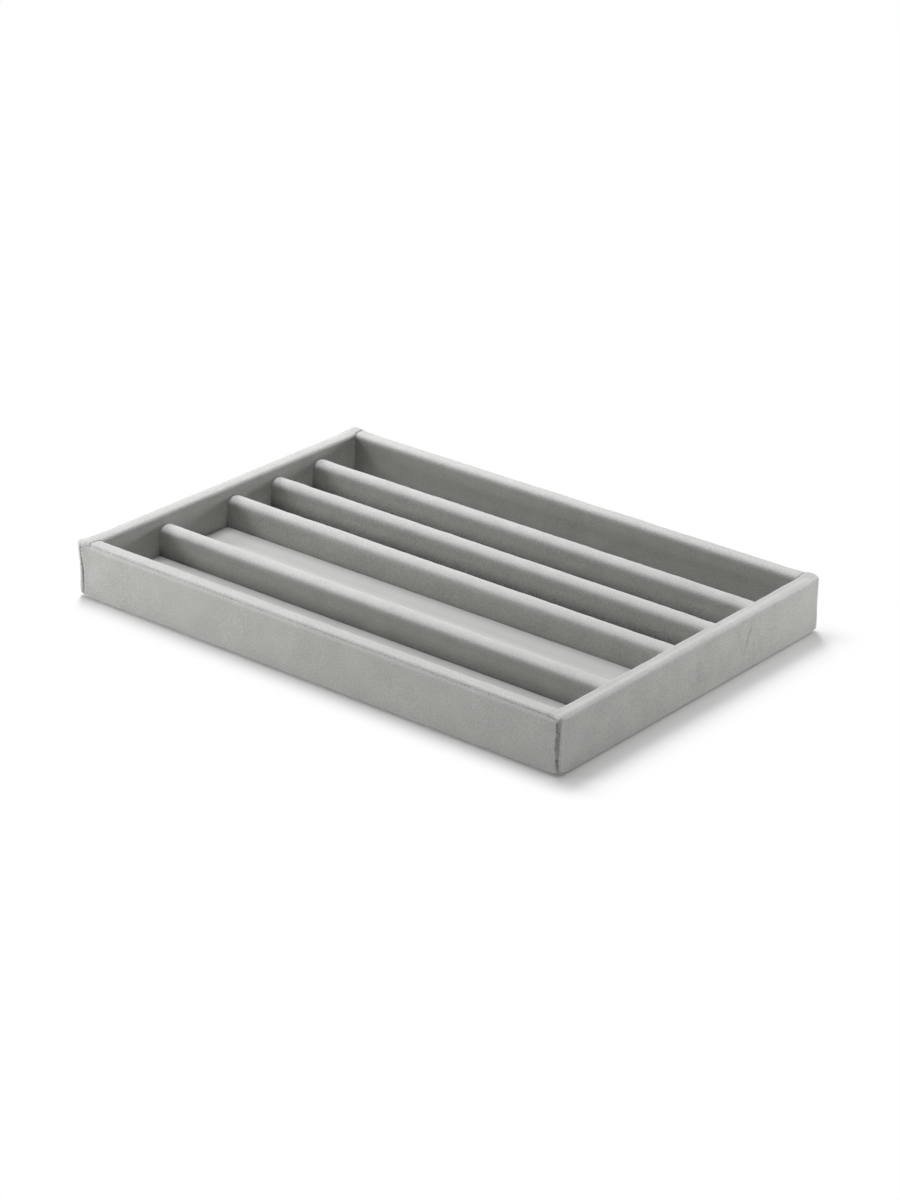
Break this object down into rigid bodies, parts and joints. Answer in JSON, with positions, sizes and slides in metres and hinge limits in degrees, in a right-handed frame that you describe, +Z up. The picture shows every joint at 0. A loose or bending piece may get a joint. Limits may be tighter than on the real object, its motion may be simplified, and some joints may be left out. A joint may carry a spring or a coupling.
{
  "type": "jewelry tray",
  "caption": "Flat open jewelry tray with low velour covered walls and fixed full-length dividers that form wide front and narrow back channels with padded floors.",
  "frame": {"origin": "centre of the tray's outline, on the surface that it stands on", "axes": "+X along the channels, +Y from the front, with the wide channels, to the back, +Z up"},
  "size_m": [0.35, 0.245, 0.035],
  "materials": {
    "velour": "short pile velour, pale warm grey",
    "suedette": "smooth suedette, pale grey",
    "fibreboard": "raw medium density fibreboard",
    "grey_card": "uncoated grey card",
    "backing_paper": "matt flocked backing paper",
    "steel": "bright drawn wire"
  },
  "bodies": {
    "root": {"base_board": "fibreboard", "underside_infill": "grey_card", "underside_sheet": "backing_paper", "front_wall_board": "fibreboard", "back_wall_board": "fibreboard", "left_wall_board": "fibreboard", "right_wall_board": "fibreboard", "front_wall_cover": "velour", "back_wall_cover": "velour", "left_wall_cover": "velour", "right_wall_cover": "velour", "divider_1_board": "fibreboard", "divider_2_board": "fibreboard", "divider_3_board": "fibreboard", "divider_4_board": "fibreboard", "divider_1_cover": "velour", "divider_2_cover": "velour", "divider_3_cover": "velour", "divider_4_cover": "velour", "floor_card_1": "grey_card", "floor_card_2": "grey_card", "floor_card_3": "grey_card", "floor_card_4": "grey_card", "floor_card_5": "grey_card", "floor_lining_1": "suedette", "floor_lining_2": "suedette", "floor_lining_3": "suedette", "floor_lining_4": "suedette", "floor_lining_5": "suedette", "corner_brads": "steel", "divider_brads": "steel", "base_brads": "steel"}
  },
  "joints": []
}
